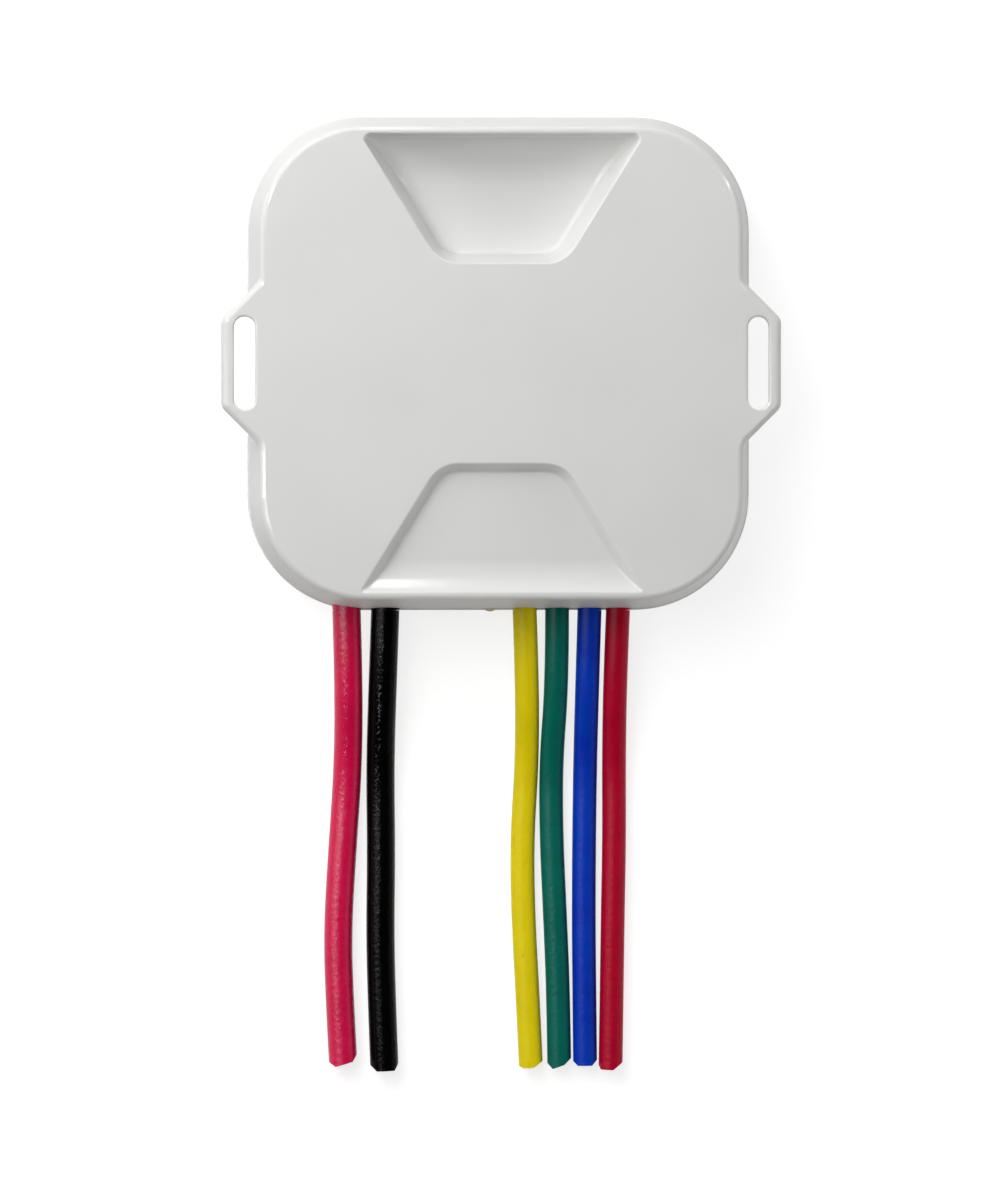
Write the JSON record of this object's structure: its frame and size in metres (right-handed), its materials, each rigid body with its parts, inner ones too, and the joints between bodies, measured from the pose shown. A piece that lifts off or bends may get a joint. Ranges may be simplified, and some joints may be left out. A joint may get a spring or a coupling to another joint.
{
  "type": "lighting control module",
  "caption": "Glossy white rounded-square control module with slotted ears at its sides, a deep and a shallow tapered hollow in its face, and coloured flying leads.",
  "frame": {"origin": "centre of the rear face, on the surface that the module lies on", "axes": "+Z out of the module's face; +Y towards the deep hollow; the leads leave towards -Y; +X to the right when the face is seen with the leads at the bottom"},
  "size_m": [0.0762, 0.131, 0.019],
  "materials": {
    "cover_plastic": "gloss",
    "base_plastic": "gloss",
    "gasket_rubber": "matte",
    "sealant": "satin",
    "pink_insulation": "satin",
    "black_insulation": "satin",
    "yellow_insulation": "satin",
    "green_insulation": "satin",
    "blue_insulation": "satin",
    "red_insulation": "satin",
    "stranded_copper": "satin",
    "screw_steel": "satin",
    "solder": "satin",
    "board_laminate": "satin",
    "clamp_plastic": "matte",
    "chip_epoxy": "matte",
    "tinned_metal": "satin",
    "can_aluminium": "satin",
    "ferrite": "matte",
    "fuse_ceramic": "matte",
    "capacitor_ceramic": "matte"
  },
  "bodies": {
    "root": {"board_screws": "screw_steel", "capacitor_base": "chip_epoxy", "capacitor_can": "can_aluminium", "case_screws": "screw_steel", "chip_capacitors": "capacitor_ceramic", "chip_pins": "tinned_metal", "chip_resistors": "chip_epoxy", "circuit_board": "board_laminate", "clamp_screws": "screw_steel", "controller_chip": "chip_epoxy", "cover_gasket": "gasket_rubber", "current_shunt": "tinned_metal", "diode_tabs": "tinned_metal", "free_lead_cores": "stranded_copper", "front_cover": "cover_plastic", "fuse_body": "fuse_ceramic", "fuse_caps": "tinned_metal", "gate_driver": "chip_epoxy", "inductor_feet": "tinned_metal", "inner_lead_black": "black_insulation", "inner_lead_blue": "blue_insulation", "inner_lead_cores": "stranded_copper", "inner_lead_green": "green_insulation", "inner_lead_pink": "pink_insulation", "inner_lead_red": "red_insulation", "inner_lead_yellow": "yellow_insulation", "lead_black": "black_insulation", "lead_blue": "blue_insulation", "lead_clamp": "clamp_plastic", "lead_green": "green_insulation", "lead_pink": "pink_insulation", "lead_red": "red_insulation", "lead_sealant": "sealant", "lead_yellow": "yellow_insulation", "mosfet_blue": "chip_epoxy", "mosfet_green": "chip_epoxy", "mosfet_red": "chip_epoxy", "mosfet_tabs": "tinned_metal", "mosfet_yellow": "chip_epoxy", "power_inductor": "ferrite", "radio_antenna": "fuse_ceramic", "radio_board": "board_laminate", "radio_shield": "tinned_metal", "rear_base": "base_plastic", "reverse_diode": "chip_epoxy", "solder_joints": "solder", "surge_suppressor": "chip_epoxy", "timing_crystal": "tinned_metal", "voltage_regulator": "chip_epoxy"}
  },
  "joints": []
}
